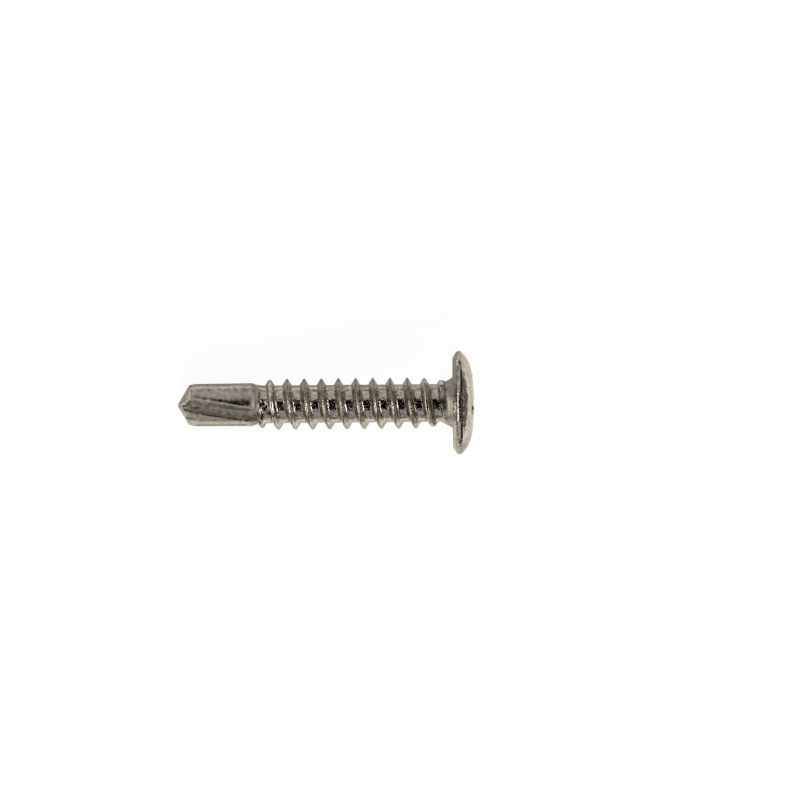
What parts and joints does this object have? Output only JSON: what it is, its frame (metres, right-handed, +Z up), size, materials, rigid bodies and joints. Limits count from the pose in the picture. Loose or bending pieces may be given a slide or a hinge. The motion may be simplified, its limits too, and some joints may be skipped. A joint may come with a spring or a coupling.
{
  "type": "self drilling screw",
  "caption": "Self drilling screw with a low crowned round head, cross recess, single start thread and fluted drill point.",
  "frame": {"origin": "on the table, under the middle of the screw's box as it lies at rest", "axes": "+Z up from the table, +X along the screw from its drill point towards its head, which is 6.96 degrees higher because the screw rests on its drill and the rim of its head"},
  "size_m": [0.0273, 0.0096, 0.0095],
  "materials": {
    "steel": "zinc plated steel, bright on the rolled shank, satin to matt on the drill, the thread's flanks and the head"
  },
  "bodies": {
    "root": {"self_drilling_screw": "steel"}
  },
  "joints": []
}
